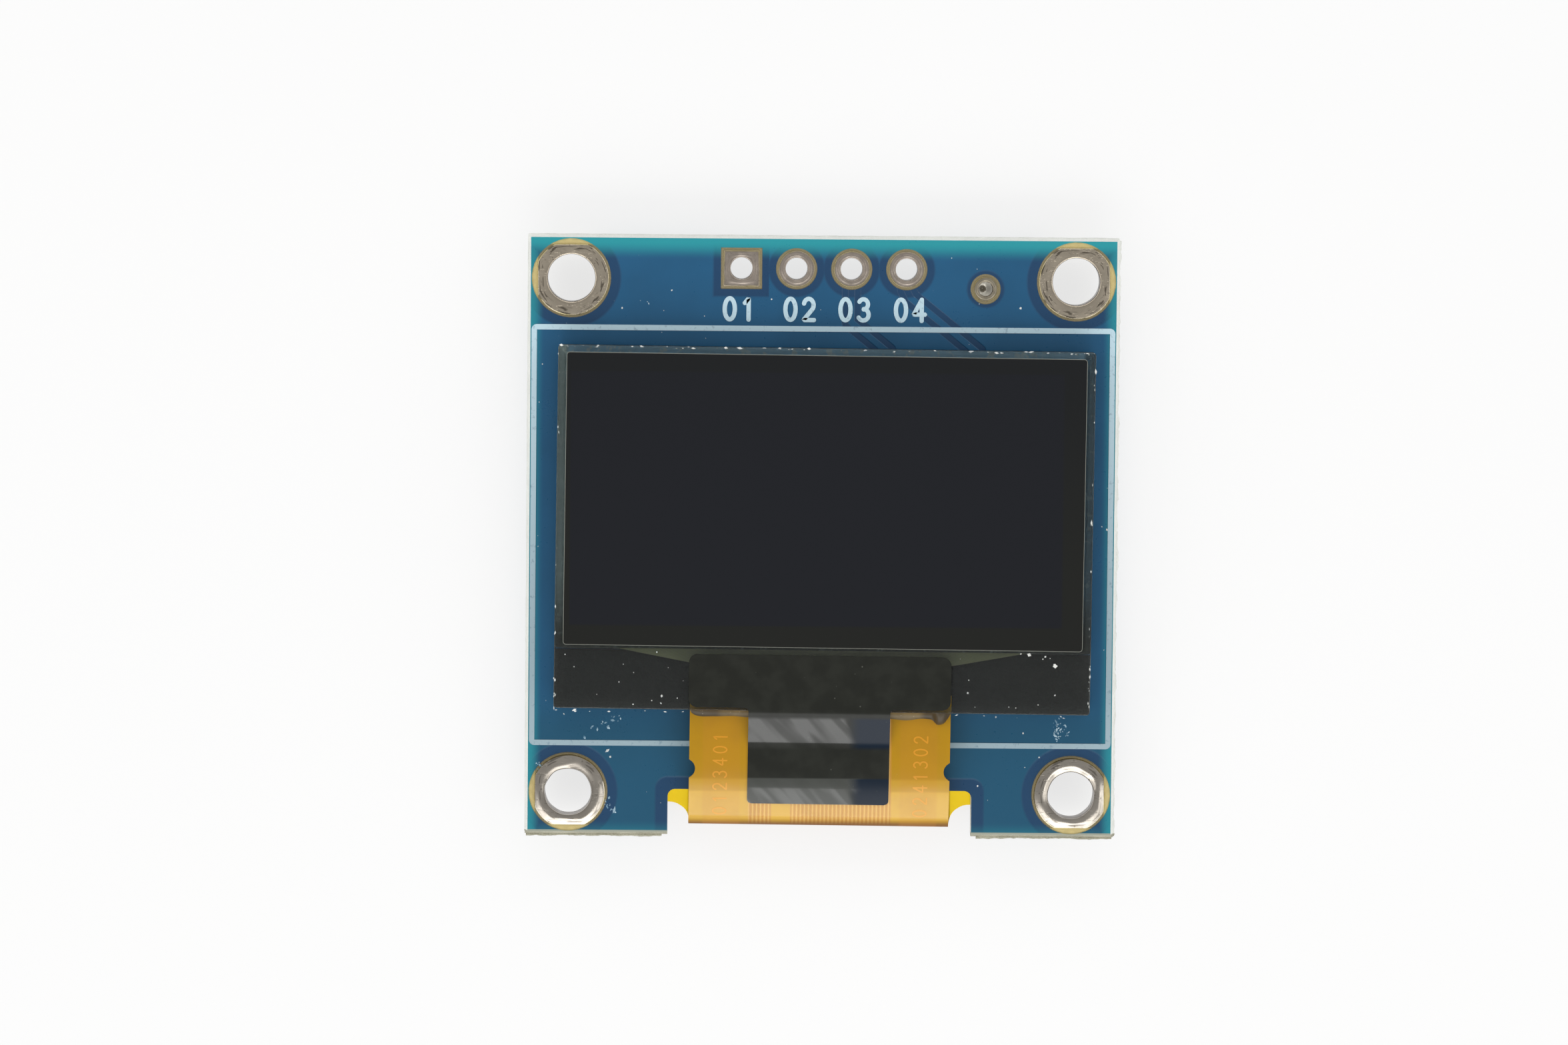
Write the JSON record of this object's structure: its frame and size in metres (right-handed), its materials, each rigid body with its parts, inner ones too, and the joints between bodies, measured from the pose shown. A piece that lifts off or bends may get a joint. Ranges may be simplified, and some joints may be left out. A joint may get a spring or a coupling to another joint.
{
  "type": "small OLED module",
  "caption": "Small graphic OLED display on a blue circuit board with four mounting holes, a four-hole header row and a flex circuit folded through a notch.",
  "frame": {"origin": "centre of the four mounting holes, on the back face of the laminate", "axes": "+X to the right seen from the display side, +Y towards the header row, +Z out of the display"},
  "size_m": [0.0274, 0.0278, 0.0041],
  "materials": {
    "laminate": "matte, with rough broken edges",
    "solder_mask": "satin, translucent blue over copper",
    "ink": "matte print",
    "tin": "uneven bright tin",
    "solder": "dull bright",
    "foam": "matte",
    "glass": "polished, with chipped edges",
    "polariser": "gloss",
    "silicon": "polished",
    "flex": "satin amber film",
    "resin": "clear gloss",
    "tape": "gloss black film",
    "capacitor": "matte",
    "resistor": "satin",
    "moulding": "matte"
  },
  "bodies": {
    "root": {"circuit_board": "laminate", "front_solder_mask": "solder_mask", "back_solder_mask": "solder_mask", "silkscreen_outline": "ink", "mount_eyelet_1": "tin", "mount_eyelet_2": "tin", "mount_eyelet_3": "tin", "mount_eyelet_4": "tin", "header_eyelet_1": "tin", "header_eyelet_2": "tin", "header_eyelet_3": "tin", "header_eyelet_4": "tin", "test_point_eyelet": "tin", "test_point_solder": "solder", "adhesive_pad": "foam", "ledge_foam": "foam", "cap_glass": "glass", "front_glass": "glass", "polariser": "polariser", "driver_chip": "silicon", "flex_circuit": "flex", "resin_bead": "resin", "light_shield_tape": "tape", "back_pads": "tin", "tail_joints": "solder", "part_solder": "solder", "regulator_body": "moulding", "regulator_leads": "tin", "capacitor_1": "capacitor", "capacitor_2": "capacitor", "capacitor_3": "capacitor", "capacitor_4": "capacitor", "capacitor_5": "capacitor", "capacitor_6": "capacitor", "resistor_1": "resistor", "resistor_2": "resistor", "resistor_3": "resistor", "resistor_4": "resistor", "resistor_5": "resistor", "resistor_6": "resistor"}
  },
  "joints": []
}
